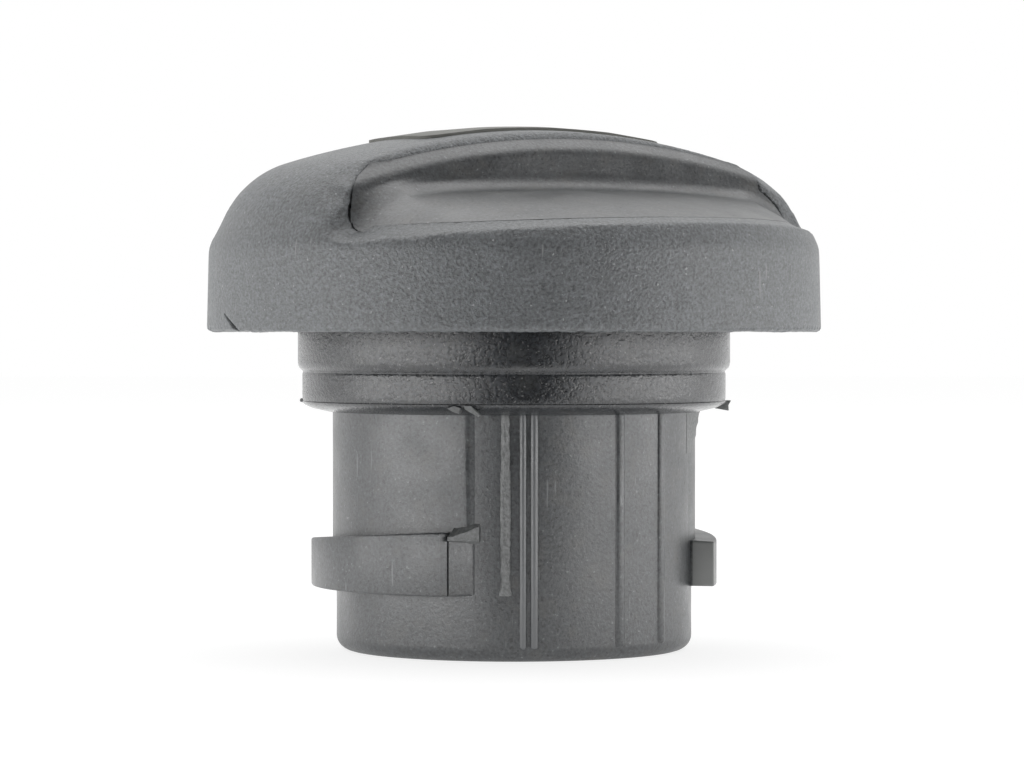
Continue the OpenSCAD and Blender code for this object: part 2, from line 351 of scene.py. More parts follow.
def worn_and_painted_light_edges(tree, place, colour):
    """The round ribs facing the camera are rubbed pale and painted lighter, a painted highlight on
    their dark tops, and the lugs' square ends are painted pale, painted light where the plug
    blocks their reflection.

    They are found below the collar by their radius in mm and by the ratio of x to y, which
    gives their azimuth.
    """
    axes = node(tree, "ShaderNodeSeparateXYZ", (-900, -900), Vector=place)
    ratio = maths(tree, "DIVIDE", axes.outputs["X"], axes.outputs["Y"], at=(-700, -900))
    flat = node(tree, "ShaderNodeCombineXYZ", (-700, -1100), X=axes.outputs["X"],
                Y=axes.outputs["Y"])
    reach = node(tree, "ShaderNodeVectorMath", (-550, -1100))
    reach.operation = "LENGTH"
    tree.links.new(flat.outputs[0], reach.inputs[0])
    below = maths(tree, "LESS_THAN", axes.outputs["Z"], PAINTED_PALE_BELOW * MM, at=(-550, -1300))
    for (middle, half, low, tone), y in ((RIBS_RUBBED_AND_PAINTED_LIGHT, -900), (LUG_ENDS_PAINTED_LIGHT, -1500)):
        band = maths(tree, "COMPARE", ratio, middle, half, at=(-550, y))
        raised = stretch(tree, reach.outputs["Value"], low * MM, (low + PAINTED_PALE_EDGE) * MM,
                         (-400, y - 200))
        there = maths(tree, "MULTIPLY", band, below, at=(-250, y))
        mask = maths(tree, "MULTIPLY", there, raised, at=(-100, y))
        # Painted light: the pale tone lifts the rib tops and the lug ends
        colour = blend(tree, "MIX", mask, colour, tone, (100, y))
    return colour


def torn_and_painted_light_finish(name, tint, bump):
    """A pale, rough finish for torn edges; on the hard moulding its paleness is also painted light
    that lifts the lug lips and side fin out of their shade.
    """
    material, tree, skin, place = new_finish(name, SURFACE_IOR)
    colour = layered(tree, place, skin, tint=tint, tone=(0.6, 1.4), grain=0.35, cloud=1.6,
                     rough=(0.5, 0.7), bump=(0.8, bump))
    tree.links.new(colour, skin.inputs["Base Color"])
    return material


def bare_pad():
    """Thin bare grey pad, matt and a little stained."""
    material, tree, skin, place = new_finish("bare_pad", PAD_IOR)
    stain = noise(tree, place, 3.0, (-900, 0), 3.0, 0.6)
    colour = ramp(tree, stain, 0.3, 0.7, (0.15, 0.15, 0.135), (0.20, 0.20, 0.185), (-600, 0))
    tree.links.new(colour, skin.inputs["Base Color"])
    skin.inputs["Roughness"].default_value = 0.6
    return material


def finish_node(name, material):
    """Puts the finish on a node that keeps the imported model's mesh."""
    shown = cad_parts[name]
    shown.data.materials.clear()
    shown.data.materials.append(material)


# Shapes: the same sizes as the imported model's, in millimetres

# Knob: outside, then the walls inside it
KNOB_R, SKIRT_FOOT, FLANK_FOOT, SKIRT_DRAFT, FLANK_LEAN = 31.0, 32.1, 40.5, 1.4, 25.5
CROWN_Z, CROWN_R, SHOULDER_R, KINK_R = 52.4, 79.0, 9.0, 3
SKIRT_WALL, RECESS_ROOF, WEB_T, DISC_R, SKIN_T = 2.5, 38.0, 1.4, 27.5, 1.6
ABOVE_ALL = 60.0
# Scoops beside the grip bar: section, sweep along the bar in degrees, and the core's window
GRIP_TURN = 31.5
CREST_HALF, SCOOP_SHIFT, SCOOP_ALONG_R, SCOOP_REACH = 9.0, 1.2, 88.0, 24
SEAM_OUT, SEAM_DOWN, LEDGE_STEP, WALL_SLOPE = 0.56, 0.8, (1.3, -1.05), 0.4
FLOOR_R, FLOOR_PEAK, FLOOR_Z, FILLET_R, LEDGE_ROUND = 84.0, 4.4, 46.1, 2.2, 0.55
WINDOW_R, WINDOW_FOOT, WINDOW_CREST = 28.2, 41.0, 9.5
COVER_INSET, CORE_INSET, CORE_LIFT, CORE_PROUD = 0.8, 0.3, 0.05, 0.03
# The scoops' ends: rise, push and where they start, and how the move fades at the rim
END_RISE, END_PUSH, END_FROM = 0.0047, 0.022, 17.5
RIM_R, FADE_FROM, FADE_WIDTH = 28.4, 12.0, 5.0
# Cover: its even mesh, the rolls' rounding, the tears and the frayed skirt
COVER_VOXEL = 0.36
ROLL_SOFT, SEAM_KEPT, ROLL_TIMES = 1.3, 0.7, 14
ROLLS_ABOVE, ROLLS_BEYOND = 40.5, 19.5
TEAR_REACH, TEAR_OPEN, FRAY, FRAY_BELOW = 1.1, 0.8, 0.14, 32.6
# Collar and plug
COLLAR_R, COLLAR_LOW_R, COLLAR_FOOT = 21.85, 21.4, 24.0
PLUG_R = 17.95


def unit(degrees):
    """The direction at that angle, in a plane."""
    return Vector((math.cos(math.radians(degrees)), math.sin(math.radians(degrees))))


def arc(centre, radius, first, last, steps):
    """Points of an arc, from one angle to another."""
    return [Vector(centre) + radius * unit(first + (last - first) * i / steps)
            for i in range(steps + 1)]


def deselect():
    """Leaves edit mode and selects nothing."""
    if bpy.context.object and bpy.context.object.mode == "EDIT":
        bpy.ops.object.mode_set(mode="OBJECT")
    bpy.ops.object.select_all(action="DESELECT")


def draw_line(name, points, closed=None):
    """One vertex is extruded along the points, given in mm as (across, height) or (x, y, z).

    Closed makes the line a "loop" or fills it with a "face".
    """
    deselect()
    bpy.ops.mesh.primitive_plane_add(size=MM, location=(0, 0, 0))
    line = bpy.context.object
    line.name = name
    line.data.name = name
    spots = [Vector(p) * MM if len(p) == 3 else Vector((p[0], 0, p[1])) * MM for p in points]
    bpy.ops.object.mode_set(mode="EDIT")
    bpy.ops.mesh.merge(type="CENTER")
    bpy.ops.transform.translate(value=spots[0])
    for here, there in zip(spots, spots[1:]):
        bpy.ops.mesh.extrude_vertices_move(TRANSFORM_OT_translate={"value": there - here})
    bpy.ops.mesh.select_all(action="SELECT")
    if closed:
        bpy.ops.mesh.edge_face_add()
    if closed == "loop":
        bpy.ops.mesh.delete(type="ONLY_FACE")
    return line


def close_block():
    """Turns the faces of the piece in edit mode outwards and leaves that mode."""
    bpy.ops.mesh.select_all(action="SELECT")
    bpy.ops.mesh.normals_make_consistent(inside=False)
    bpy.ops.object.mode_set(mode="OBJECT")


def spin_round(line, steps, angle=360, centre=(0, 0, 0), axis=(0, 0, 1)):
    """Spins the drawn line, closes it where it meets itself, and turns its faces outwards."""
    bpy.ops.mesh.select_all(action="SELECT")
    bpy.ops.mesh.spin(steps=steps, angle=-math.radians(angle), center=Vector(centre) * MM,
                      axis=axis)
    bpy.ops.mesh.select_all(action="SELECT")
    bpy.ops.mesh.remove_doubles(threshold=0.002 * MM)
    bpy.ops.mesh.normals_make_consistent(inside=False)
    bpy.ops.object.mode_set(mode="OBJECT")
    return line


def turn(piece, degrees):
    """Turns a piece about the cap's axis and puts the turn into its mesh."""
    deselect()
    piece.rotation_euler.z = math.radians(degrees)
    piece.select_set(True)
    bpy.context.view_layer.objects.active = piece
    bpy.ops.object.transform_apply(location=True, rotation=True, scale=True)
    return piece


def combine(piece, tool, operation="DIFFERENCE", keep=False):
    """Cuts the tool out of the piece, or joins it on."""
    deselect()
    modifier = piece.modifiers.new("combine", "BOOLEAN")
    modifier.operation = operation
    modifier.solver = "MANIFOLD"
    modifier.object = tool
    bpy.context.view_layer.objects.active = piece
    bpy.ops.object.modifier_apply(modifier="combine")
    if not keep:
        bpy.data.objects.remove(tool)
    return piece


def copy_of(piece, name):
    """A copy with its own mesh."""
    twin = piece.copy()
    twin.data = piece.data.copy()
    twin.name = name
    bpy.context.scene.collection.objects.link(twin)
    return twin


def dome_line(inset, steps=24):
    """Outline of the knob from the flank's foot to the axis, drawn in by the inset."""
    foot = Vector((KNOB_R - (FLANK_FOOT - SKIRT_FOOT) * math.tan(math.radians(SKIRT_DRAFT)),
                   FLANK_FOOT))
    crown = Vector((0, CROWN_Z - CROWN_R))
    up = unit(90 + FLANK_LEAN)
    base = foot - SHOULDER_R * unit(FLANK_LEAN) - crown
    half = base.dot(up)
    run = -half + math.sqrt(half * half - base.dot(base) + (CROWN_R - SHOULDER_R) ** 2)
    centre = crown + base + run * up
    edge = math.degrees(math.atan2(centre.y - crown.y, centre.x))
    return foot, (arc(centre, SHOULDER_R - inset, FLANK_LEAN, edge, steps)
                  + arc(crown, CROWN_R - inset, edge, 90, 2 * steps)[1:])


def knob_shell():
    """The cover's head and skirt, spun: dome, skirt, open recess, web and the core's room."""
    foot, outer = dome_line(0)
    kink = foot - KINK_R / math.cos(math.radians((FLANK_LEAN - SKIRT_DRAFT) / 2)) * unit(
        (FLANK_LEAN + SKIRT_DRAFT) / 2)
    skirt = [Vector((KNOB_R - (z - SKIRT_FOOT) * math.tan(math.radians(SKIRT_DRAFT)), z))
             for z in (SKIRT_FOOT, 33.5, 35, 36.5, 38)]
    roof = [p for p in reversed(dome_line(SKIN_T)[1]) if p.x < DISC_R]
    disc_foot = RECESS_ROOF + WEB_T
    room = roof + [(DISC_R, roof[-1].y), (DISC_R, disc_foot), (PLUG_R, disc_foot)]
    recess = [(PLUG_R, RECESS_ROOF), (KNOB_R - SKIRT_WALL - 0.3, RECESS_ROOF),
              (KNOB_R - SKIRT_WALL, SKIRT_FOOT)]
    outside = skirt + arc(kink, KINK_R, SKIRT_DRAFT, FLANK_LEAN, 4) + outer
    return spin_round(draw_line("knob_cover", room + recess + outside), ROUND_STEPS)


def scoop_section():
    """Section of one scoop: rolled crest, ledge, wall, fillet and domed floor."""
    crest = CROWN_Z - CROWN_R + math.sqrt(CROWN_R ** 2 - CREST_HALF ** 2)
    seam = Vector((CREST_HALF + SEAM_OUT, crest - SEAM_DOWN))
    wall_top = seam + Vector(LEDGE_STEP)
    foot_x = wall_top.x + WALL_SLOPE
    floor_centre = Vector((FLOOR_PEAK, FLOOR_Z - math.sqrt(FLOOR_R ** 2
                                                          - (foot_x - FLOOR_PEAK) ** 2)))
    fillet = Vector((foot_x + FILLET_R, 0))
    fillet.y = floor_centre.y + math.sqrt((FLOOR_R + FILLET_R) ** 2
                                          - (fillet.x - FLOOR_PEAK) ** 2)
    lean = math.degrees(math.atan2(fillet.x - floor_centre.x, fillet.y - floor_centre.y))
    rolled = [Vector((CREST_HALF - 0.6, crest + 0.12)), Vector((CREST_HALF, crest - 0.08)), seam]
    low = fillet + FILLET_R * unit(186)
    above = wall_top + LEDGE_ROUND * (seam - wall_top).normalized()
    below = wall_top + LEDGE_ROUND * (low - wall_top).normalized()
    ledge = [seam.lerp(above, t) for t in (0.25, 0.5, 0.75)]
    shoulder = [above.lerp(wall_top, t).lerp(wall_top.lerp(below, t), t)
                for t in (0, 0.2, 0.4, 0.6, 0.8, 1)]
    wall = [below.lerp(low, t) for t in (0.17, 0.34, 0.51, 0.68, 0.85)]
    return (rolled + ledge + shoulder + wall + arc(fillet, FILLET_R, 186, 270 - lean, 8)
            + arc(floor_centre, FLOOR_R, 90 - lean, 68, 36)[1:]), wall_top, fillet


def run_out(wall_top, fillet):
    """The wall gets lower and leans back towards both ends of the scoop.

    Gives a move that raises the wall's foot and pushes it outwards, and fades on the floor.
    """
    foot_z = fillet.y - FILLET_R

    def move(across, along, z, level):
        end = along - SCOOP_SHIFT
        if across <= wall_top.x:
            share = 0
        elif across < fillet.x:
            share = min(1, max(0, (wall_top.y - level) / (wall_top.y - foot_z)))
            share *= share * (3 - 2 * share)
        else:
            share = 1
        fade = ((RIM_R - math.hypot(across, along))
                / max(RIM_R - math.hypot(FADE_FROM, along), FADE_WIDTH))
        share *= max(0, min(1, fade))
        push = END_PUSH * max(0, abs(end) - END_FROM) ** 2
        return across + push * share, along, z + END_RISE * end * end * share

    return move


def scoop_cutter():
    """The scoop's section spun along the bar, about a far axis under the knob."""
    section, wall_top, fillet = scoop_section()
    section = ([Vector((section[0].x, ABOVE_ALL))] + section
               + [Vector((section[-1].x, ABOVE_ALL))])
    axis_z = CROWN_Z - SCOOP_ALONG_R
    first = [Vector((p.x, SCOOP_SHIFT - (p.y - axis_z) * math.sin(math.radians(SCOOP_REACH)),
                     axis_z + (p.y - axis_z) * math.cos(math.radians(SCOOP_REACH))))
             for p in section]
    line = draw_line("scoop", first, closed="face")
    spin_round(line, 120, -2 * SCOOP_REACH, (0, SCOOP_SHIFT, axis_z), (1, 0, 0))
    move = run_out(wall_top, fillet)
    for vert in line.data.vertices:
        across, along, z = vert.co / MM
        level = axis_z + math.hypot(along - SCOOP_SHIFT, z - axis_z)
        if level < ABOVE_ALL - 1:
            vert.co = Vector(move(across, along, z, level)) * MM
    return turn(line, GRIP_TURN - 90)


# Where the soft cover rolls over into the scoop, at one end of the scoop: the inner edge is
# the seam with the hard core and the outer edge lies on the knob. Each is (across, along, up).
LEFT_INNER = [(9.25, -20.2, 49.35), (9.25, -21.94, 48.4), (10.04, -23.71, 47.02),
              (11.1, -24.96, 45.63), (11.65, -25.4, 44.17), (12.33, -25.21, 43.11),
              (13.09, -24.94, 42.47), (14.39, -24.38, 41.94), (16.6, -22.99, 41.89),
              (19.2, -20.9, 42.0)]
LEFT_OUTER = [(9.0, -20.4, 49.6), (8.5, -22.6, 48.7), (7.85, -24.6, 47.6),
              (8.0, -26.2, 46.3), (8.9, -27.0, 45.0), (10.35, -27.38, 43.7),
              (12.15, -27.39, 42.3), (14.16, -26.89, 41.35), (16.8, -25.5, 41.0),
              (19.6, -22.9, 41.3)]
RIGHT_INNER = [(9.25, 18.6, 49.75), (9.35, 20.6, 49.05), (9.86, 21.95, 48.32),
               (10.7, 22.35, 47.5), (11.73, 22.5, 46.34), (12.55, 22.54, 45.4),
               (14.0, 22.0, 44.7), (15.8, 20.9, 44.25)]
RIGHT_OUTER = [(9.0, 19.2, 49.5), (8.6, 21.6, 48.9), (8.6, 23.4, 48.27), (9.2, 24.8, 47.33),
               (10.4, 25.8, 46.03), (11.9, 26.2, 44.67), (13.9, 25.6, 43.99),
               (16.2, 24.2, 44.01)]
ROLLS = {"left": (LEFT_INNER, LEFT_OUTER), "right": (RIGHT_INNER, RIGHT_OUTER)}
ROLL_CORE = {"left": (6, -12, 34), "right": (6, 12, 34)}
ROLL_OVERLAP, ROLL_HEIGHT = 0.25, 3


def roll_rows(end):
    """Three-cornered sections along one rolled edge: seam, knob side, and a corner in the air."""
    inner, outer = ([Vector(spot) for spot in line] for line in ROLLS[end])
    deep = Vector(ROLL_CORE[end])
    last = len(inner) - 1
    rows = []
    for i in range(last + 1):
        before, after = max(i - 1, 0), min(i + 1, last)
        along = inner[after] - inner[before] + outer[after] - outer[before]
        across = outer[i] - inner[i]
        middle = (inner[i] + outer[i]) / 2
        out = across.cross(along).normalized()
        if out.dot(middle - deep) < 0:
            out = -out
        reach = across.normalized() * ROLL_OVERLAP
        rows.append((inner[i] - reach, outer[i] + reach, middle + out * ROLL_HEIGHT))
    return rows


def roll_cutter(end):
    """A strip along the rolled edge: its inner side leaves the roll."""
    rows = [[corner * MM for corner in row] for row in roll_rows(end)]
    strip = draw_line("roll", [corner / MM for corner in rows[0]], closed="face")
    for row, following in zip(rows, rows[1:]):
        bpy.ops.mesh.extrude_region_move()
        sketch = bmesh.from_edit_mesh(strip.data)
        for vert in sketch.verts:
            if vert.select:
                corner = min(range(3), key=lambda k: (vert.co - row[k]).length)
                vert.co = following[corner]
        bmesh.update_edit_mesh(strip.data)
    close_block()
    return turn(strip, GRIP_TURN - 90)


def window_outline(rim_r):
    """The core's window in plan: the seam at both ends of the scoop, the rim and the crest."""
    left, right = ([Vector(spot[:2]) for spot in line if math.hypot(*spot[:2]) < WINDOW_R]
                   for line in (LEFT_INNER, RIGHT_INNER))
    first, last = (math.degrees(math.atan2(seam[-1].y, seam[-1].x)) for seam in (left, right))
    return ([Vector((WINDOW_CREST, left[0].y))] + left[1:]
            + arc((0, 0), rim_r, first, last, 40)[1:-1]
            + right[:0:-1] + [Vector((WINDOW_CREST, right[0].y))])


def window_block(foot, rim_r):
    """A prism over the core's window, from that height up."""
    block = draw_line("window", [(p.x, p.y, foot) for p in window_outline(rim_r)], closed="face")
    bpy.ops.mesh.extrude_region_move(
        TRANSFORM_OT_translate={"value": (0, 0, (ABOVE_ALL - foot) * MM)})
    close_block()
    return turn(block, GRIP_TURN - 90)


def on_both_sides(piece, tool, operation="DIFFERENCE"):
    """Uses the tool on the camera's side and, turned by half a turn, on the other."""
    combine(piece, tool, operation, keep=True)
    combine(piece, turn(tool, 180), operation)
    return piece


def knob_cover():
    """The soft cover's head: spun, cut by the scoops and the core's windows, edges rolled."""
    cover = knob_shell()
    on_both_sides(cover, scoop_cutter())
    on_both_sides(cover, window_block(WINDOW_FOOT, WINDOW_R - COVER_INSET))
    for end in ROLLS:
        on_both_sides(cover, roll_cutter(end))
    return cover


def soften(piece, voxel, name):
    """Gives a cut piece one even mesh, which also takes the sharpness off its edges."""
    deselect()
    modifier = piece.modifiers.new("even", "REMESH")
    modifier.mode = "VOXEL"
    modifier.voxel_size = voxel * MM
    modifier.use_smooth_shade = True
    bpy.context.view_layer.objects.active = piece
    bpy.ops.object.modifier_apply(modifier="even")
    piece.name = name
    piece.data.name = name
    return piece


# Where the seam between cover and core is torn open, as (across, along, up)
LEFT_TEAR = [(11.3, -25.1, 45.1), (11.65, -25.4, 44.17), (12.33, -25.21, 43.11),
             (13.09, -24.94, 42.47)]
RIGHT_TEAR = [(10.7, 22.35, 47.5), (11.73, 22.5, 46.34), (12.55, 22.54, 45.4),
              (13.6, 22.2, 44.85)]


def scoop_place(spot, half_turn):
    """A place given across and along the scoop, in metres in the frame."""
    spun = Vector((spot[0], spot[1], 0)) * MM
    spun.rotate(Euler((0, 0, math.radians(GRIP_TURN - 90 + half_turn))))
    return Vector((spun.x, spun.y, spot[2] * MM))


def nearest_on(line, co):
    """The nearest place on a line of points, and how far it is."""
    best = None
    for here, there in zip(line, line[1:]):
        spot, share = intersect_point_line(co, here, there)
        spot = here if share < 0 else there if share > 1 else spot
        gap = (co - spot).length
        if best is None or gap < best[1]:
            best = spot, gap
    return best


def open_at_marked(piece):
    """Opens a piece in edit mode with only the vertices selected that are marked."""
    for part in (piece.data.polygons, piece.data.edges):
        for item in part:
            item.select = False
    deselect()
    bpy.context.view_layer.objects.active = piece
    piece.select_set(True)
    bpy.ops.object.mode_set(mode="EDIT")
    bpy.ops.mesh.select_mode(type="VERT")


def wear_edges(cover):
    """Opens the torn seams, rounds the rolls' outer edges and frays the skirt's lower edge."""
    tears = [([scoop_place(spot, 0) for spot in line],
              scoop_place((0, side, 0), 0).normalized())
             for line, side in ((LEFT_TEAR, -1), (RIGHT_TEAR, 1))]
    rolls = [[[scoop_place(spot, half_turn) for spot in line] for line in roll]
             for half_turn in (0, 180) for roll in ROLLS.values()]
    for vert in cover.data.vertices:
        vert.select = False
        co = vert.co
        if co.z > ROLLS_ABOVE * MM and math.hypot(co.x, co.y) > ROLLS_BEYOND * MM:
            for inner, outer in rolls:
                if (nearest_on(outer, co)[1] < ROLL_SOFT * MM
                        and nearest_on(inner, co)[1] > SEAM_KEPT * MM):
                    vert.select = True
            for line, aside in tears:
                spot, gap = nearest_on(line, co)
                if gap < TEAR_REACH * MM:
                    out = Vector((co.x, co.y, 0)).normalized() * 0.8 + Vector((0, 0, 0.6))
                    away = (aside - out * aside.dot(out)).normalized()
                    ragged = 0.55 + 0.9 * pattern.noise(co / (0.8 * MM))
                    share = (1 - gap / (TEAR_REACH * MM)) ** 0.7
                    vert.co = co + away * (TEAR_OPEN * MM * share * max(0.1, ragged))
        elif co.z < FRAY_BELOW * MM:
            azimuth = math.atan2(co.x, -co.y)
            vert.co.z += FRAY * MM * (pattern.noise(Vector((azimuth * 26, co.length * 90, 3)))
                                      + 0.6 * pattern.noise(Vector((azimuth * 90, 0, 8))))
    open_at_marked(cover)
    bpy.ops.mesh.vertices_smooth(factor=0.5, repeat=ROLL_TIMES)
    bpy.ops.object.mode_set(mode="OBJECT")
    return cover


# A slit torn in the skirt's lower edge, as (azimuth, height)
SLIT = [(-60.0, 31.9), (-62.1, 32.6), (-64.2, 33.15), (-66.6, 33.8)]
SLIT_HALF, SLIT_FLARE, SLIT_DEEP = 0.11, 0.11, 1.0
SLIT_TOP, SLIT_NEAR = 33.5, 0.9


def cut_slit(cover):
    """The mesh is made finer along the slit and pressed inwards there, more so at its foot."""
    line = [Vector((KNOB_R * math.sin(math.radians(azimuth)),
                    -KNOB_R * math.cos(math.radians(azimuth)), z)) * MM for azimuth, z in SLIT]

    def gap(co):
        if co.z > (SLIT_TOP + 1) * MM or co.y > 0 or math.hypot(co.x, co.y) < (KNOB_R - 1) * MM:
            return 1
        return nearest_on(line, co)[1]

    for vert in cover.data.vertices:
        vert.select = gap(vert.co) < SLIT_NEAR * MM
    open_at_marked(cover)
    bpy.ops.mesh.subdivide(number_cuts=3)
    bpy.ops.object.mode_set(mode="OBJECT")
    for vert in cover.data.vertices:
        near = gap(vert.co) / MM
        half = SLIT_HALF + SLIT_FLARE * max(0, SLIT_TOP - vert.co.z / MM)
        if near < half:
            inwards = Vector((vert.co.x, vert.co.y, 0)).normalized()
            vert.co -= inwards * SLIT_DEEP * MM * (1 - (near / half) ** 3)
    return cover


def seal_collar():
    """The stepped collar, spun, with its pinched lower corner."""
    line = [(PLUG_R, COLLAR_FOOT), (18.7, COLLAR_FOOT), (20.45, 24.4), (21.15, 24.72),
            (21.36, 24.92), (21.42, 25.04), (21.33, 25.12), (21.38, 25.3), (21.4, 25.8),
            (COLLAR_LOW_R, 27.0), (COLLAR_LOW_R, 27.7), (21.38, 27.85), (21.33, 27.98),
            (21.36, 28.1), (21.48, 28.22), (21.7, 28.44), (21.8, 28.66), (COLLAR_R, 29.0),
            (COLLAR_R, 31.0), (COLLAR_R, 34.0), (COLLAR_R, RECESS_ROOF + 0.2),
            (PLUG_R, RECESS_ROOF + 0.2)]
    return spin_round(draw_line("seal_collar", line, closed="loop"), 240)


def joined(pieces, name):
    """Several closed pieces as one object."""
    deselect()
    for piece in pieces:
        piece.select_set(True)
    bpy.context.view_layer.objects.active = pieces[0]
    bpy.ops.object.join()
    whole = bpy.context.object
    whole.name = whole.data.name = name
    return whole


# Slivers of flash at the collar's lower corner, each an outline of (azimuth, height)
# and the radii of its inner and outer face
FLASH = [([(-17.4, 24.7), (-15.6, 24.95), (-13.9, 24.75), (-14.3, 24.2), (-16.0, 24.4)],
          20.6, 21.5),
         ([(-13.0, 25.0), (-11.1, 24.95), (-8.8, 24.1), (-9.2, 23.9), (-11.4, 24.35),
           (-12.7, 24.65)], 20.6, 21.5)]
# The same at the sides, each an outline of (across, height) with its depth
SIDE_FLASH = [([(20.6, 25.1), (21.98, 25.1), (21.7, 24.6), (21.75, 24.05), (20.3, 24.3)], 0.7),
              ([(-20.9, 25.35), (-21.62, 25.3), (-21.7, 25.0), (-21.3, 24.85), (-20.8, 25.0)],
               0.6)]


def wrapped_block(outline, r_in, r_out):
    """A rough block wrapped round the axis, its outline given as (azimuth, height)."""
    block = draw_line("block", [(math.radians(a) * r_out, 0, z) for a, z in outline],
                      closed="face")
    bpy.ops.mesh.subdivide(number_cuts=2)
    bpy.ops.mesh.select_all(action="SELECT")
    bpy.ops.mesh.extrude_region_move(
        TRANSFORM_OT_translate={"value": (0, (r_out - r_in) * MM, 0)})
    close_block()
    for vert in block.data.vertices:
        along, deep, z = vert.co / MM
        r = r_out - deep + 0.12 * pattern.noise(Vector((along, deep, z * 2)))
        turned = along / r_out
        vert.co = Vector((r * math.sin(turned), -r * math.cos(turned), z)) * MM
    return block


def collar_flash():
    """The torn slivers of rubber round the collar's lower corner, as one piece."""
    pieces = [wrapped_block(*sliver) for sliver in FLASH]
    for outline, depth in SIDE_FLASH:
        flat = draw_line("flash", [(x, -depth / 2, z) for x, z in outline], closed="face")
        bpy.ops.mesh.extrude_region_move(TRANSFORM_OT_translate={"value": (0, depth * MM, 0)})
        close_block()
        pieces.append(bevel(flat, 0.08, 2, 30))
    return joined(pieces, "collar_flash")


# Hard moulding: azimuths in degrees, right of the camera, and all else in mm
PLUG_WALL, FOOT_ROUND, PLUG_ROOF = 2.35, 1.5, 36.0
# Half width, half length and roof height of the hollow in the grip bar
GRIP_HOLLOW = (6.5, 12.5, 47.0)
# Parts on the wall start inside it
IN_WALL_R, SUNK = 17.0, 0.3
LUG_R, LUG_FOOT, LUG_START, LUG_END, LUG_RUNOUT = 20.5, 6.5, -101.0, -20.6, 9.5
LUG_THIN, LUG_THICK, LUG_STEP, LUG_BEVEL = 4.5, 6.2, 0.95, 0.22
LUG_SCORE, END_SKEW, LUG_DROP, LUG_ROUGH = -18.8, 0.6, 0.75, 0.2
SCORE_HALF, SCORE_DEEP = 0.22, 0.9
PAD_R, PAD_START, PAD_RAMP, PAD_END, PAD_SLOPE = 18.33, -104.0, 12.0, -14.5, 2.9
LAND_RISE, LAND_START, LAND_END = 0.06, -13, -1
# Start, end and height of the torn mould line
TORN_LINE = (-4.3, -1.0, 0.34)
FIN_START, FIN_SPREAD, FIN_RAMP, FIN_FOOT, FIN_STEP = 74, 18, 13, 19.9, 0.43
# Azimuth, width and height of each rib
ROUND_RIBS = [(2.75, 0.75, 0.26), (6.25, 0.8, 0.26), (35.2, 1.15, 0.3), (53.9, 1.15, 0.3)]
RIB_FOOT = 1.3


def core_body():
    """Plug, head disc and the head's smooth dome under the cover, spun."""
    roof = [p for p in dome_line(SKIN_T)[1] if p.x < DISC_R]
    bore = PLUG_R - PLUG_WALL
    foot = arc((PLUG_R - FOOT_ROUND, FOOT_ROUND), FOOT_ROUND, -90, 0, 8)
    line = ([(0, PLUG_ROOF), (bore, PLUG_ROOF), (bore, 0)] + foot
            + [(PLUG_R, RECESS_ROOF + WEB_T), (DISC_R, RECESS_ROOF + WEB_T), (DISC_R, roof[0].y)]
            + roof)
    return spin_round(draw_line("hard_core", line), ROUND_STEPS)


def knob_top():
    """The knob above the foot of the core's windows, before the scoops are cut."""
    start = [p for p in dome_line(0)[1] if p.y > WINDOW_FOOT]
    return spin_round(draw_line("knob_top", [(0, WINDOW_FOOT), (start[0].x, WINDOW_FOOT)]
                                + start), ROUND_STEPS)


def ring_part(name, r_in, r_out, z_low, z_high, first, last, steps):
    """A block that follows the plug's wall between two azimuths, right of the camera."""
    block = draw_line(name, [(r_in, z_low), (r_out, z_low), (r_out, z_high), (r_in, z_high)],
                      closed="face")
    spin_round(block, steps, last - first)
    return turn(block, first - 90)


def shape(piece, move):
    """Moves each vertex: move gets and gives its radius, azimuth and height, in mm and degrees."""
    for vert in piece.data.vertices:
        x, y, z = (c / MM for c in vert.co)
        r, azimuth, z = move(math.hypot(x, y), math.degrees(math.atan2(x, -y)), z)
        side, front = math.sin(math.radians(azimuth)), -math.cos(math.radians(azimuth))
        vert.co = (r * side * MM, r * front * MM, z * MM)
    return piece


def bevel(piece, width, segments=2, angle=35):
    """Rounds the edges that are sharper than that angle."""
    deselect()
    modifier = piece.modifiers.new("bevel", "BEVEL")
    modifier.width = width * MM
    modifier.segments = segments
    modifier.limit_method = "ANGLE"
    modifier.angle_limit = math.radians(angle)
    bpy.context.view_layer.objects.active = piece
    bpy.ops.object.modifier_apply(modifier="bevel")
    return piece


def cam_lug():
    """A cam lug: level below, rising above, with a scored line and a run-out at its thick end."""
    half = math.radians((LUG_END - LUG_START) / 2)
    slope = (LUG_THICK - LUG_THIN) / 2 / math.sin(half)
    middle = (LUG_START + LUG_END) / 2
    top = Vector((math.sin(math.radians(LUG_END)), -math.cos(math.radians(LUG_END)))) * LUG_R
    foot_at = math.radians(LUG_END + LUG_RUNOUT)
    foot = Vector((math.sin(foot_at), -math.cos(foot_at))) * (PLUG_R - SUNK)

    def move(r, azimuth, z):
        if azimuth > 0:
            azimuth -= 360
        if r > PLUG_R and azimuth < LUG_START + 0.1:
            azimuth -= END_SKEW
        if z > LUG_FOOT + 1:
            z = (LUG_FOOT + (LUG_THIN + LUG_THICK) / 2
                 + slope * math.sin(math.radians(azimuth - middle)) * r / LUG_R)
        if r > PLUG_R and azimuth > LUG_END + 0.1:
            ray = Vector((math.sin(math.radians(azimuth)), -math.cos(math.radians(azimuth))))
            run = foot - top
            r = (top.x * run.y - top.y * run.x) / (ray.x * run.y - ray.y * run.x)
            if z > LUG_FOOT + 1 and azimuth > LUG_SCORE:
                z -= LUG_DROP + LUG_ROUGH * pattern.noise(Vector((azimuth / 2, 0, 0)))
        return r, azimuth, z

    steps = round((LUG_END + LUG_RUNOUT - LUG_START) / LUG_STEP)
    block = ring_part("lug", IN_WALL_R, LUG_R, LUG_FOOT, LUG_FOOT + LUG_THICK, LUG_START,
                      LUG_END + LUG_RUNOUT, steps)
    return bevel(shape(block, move), LUG_BEVEL, 3, 50)


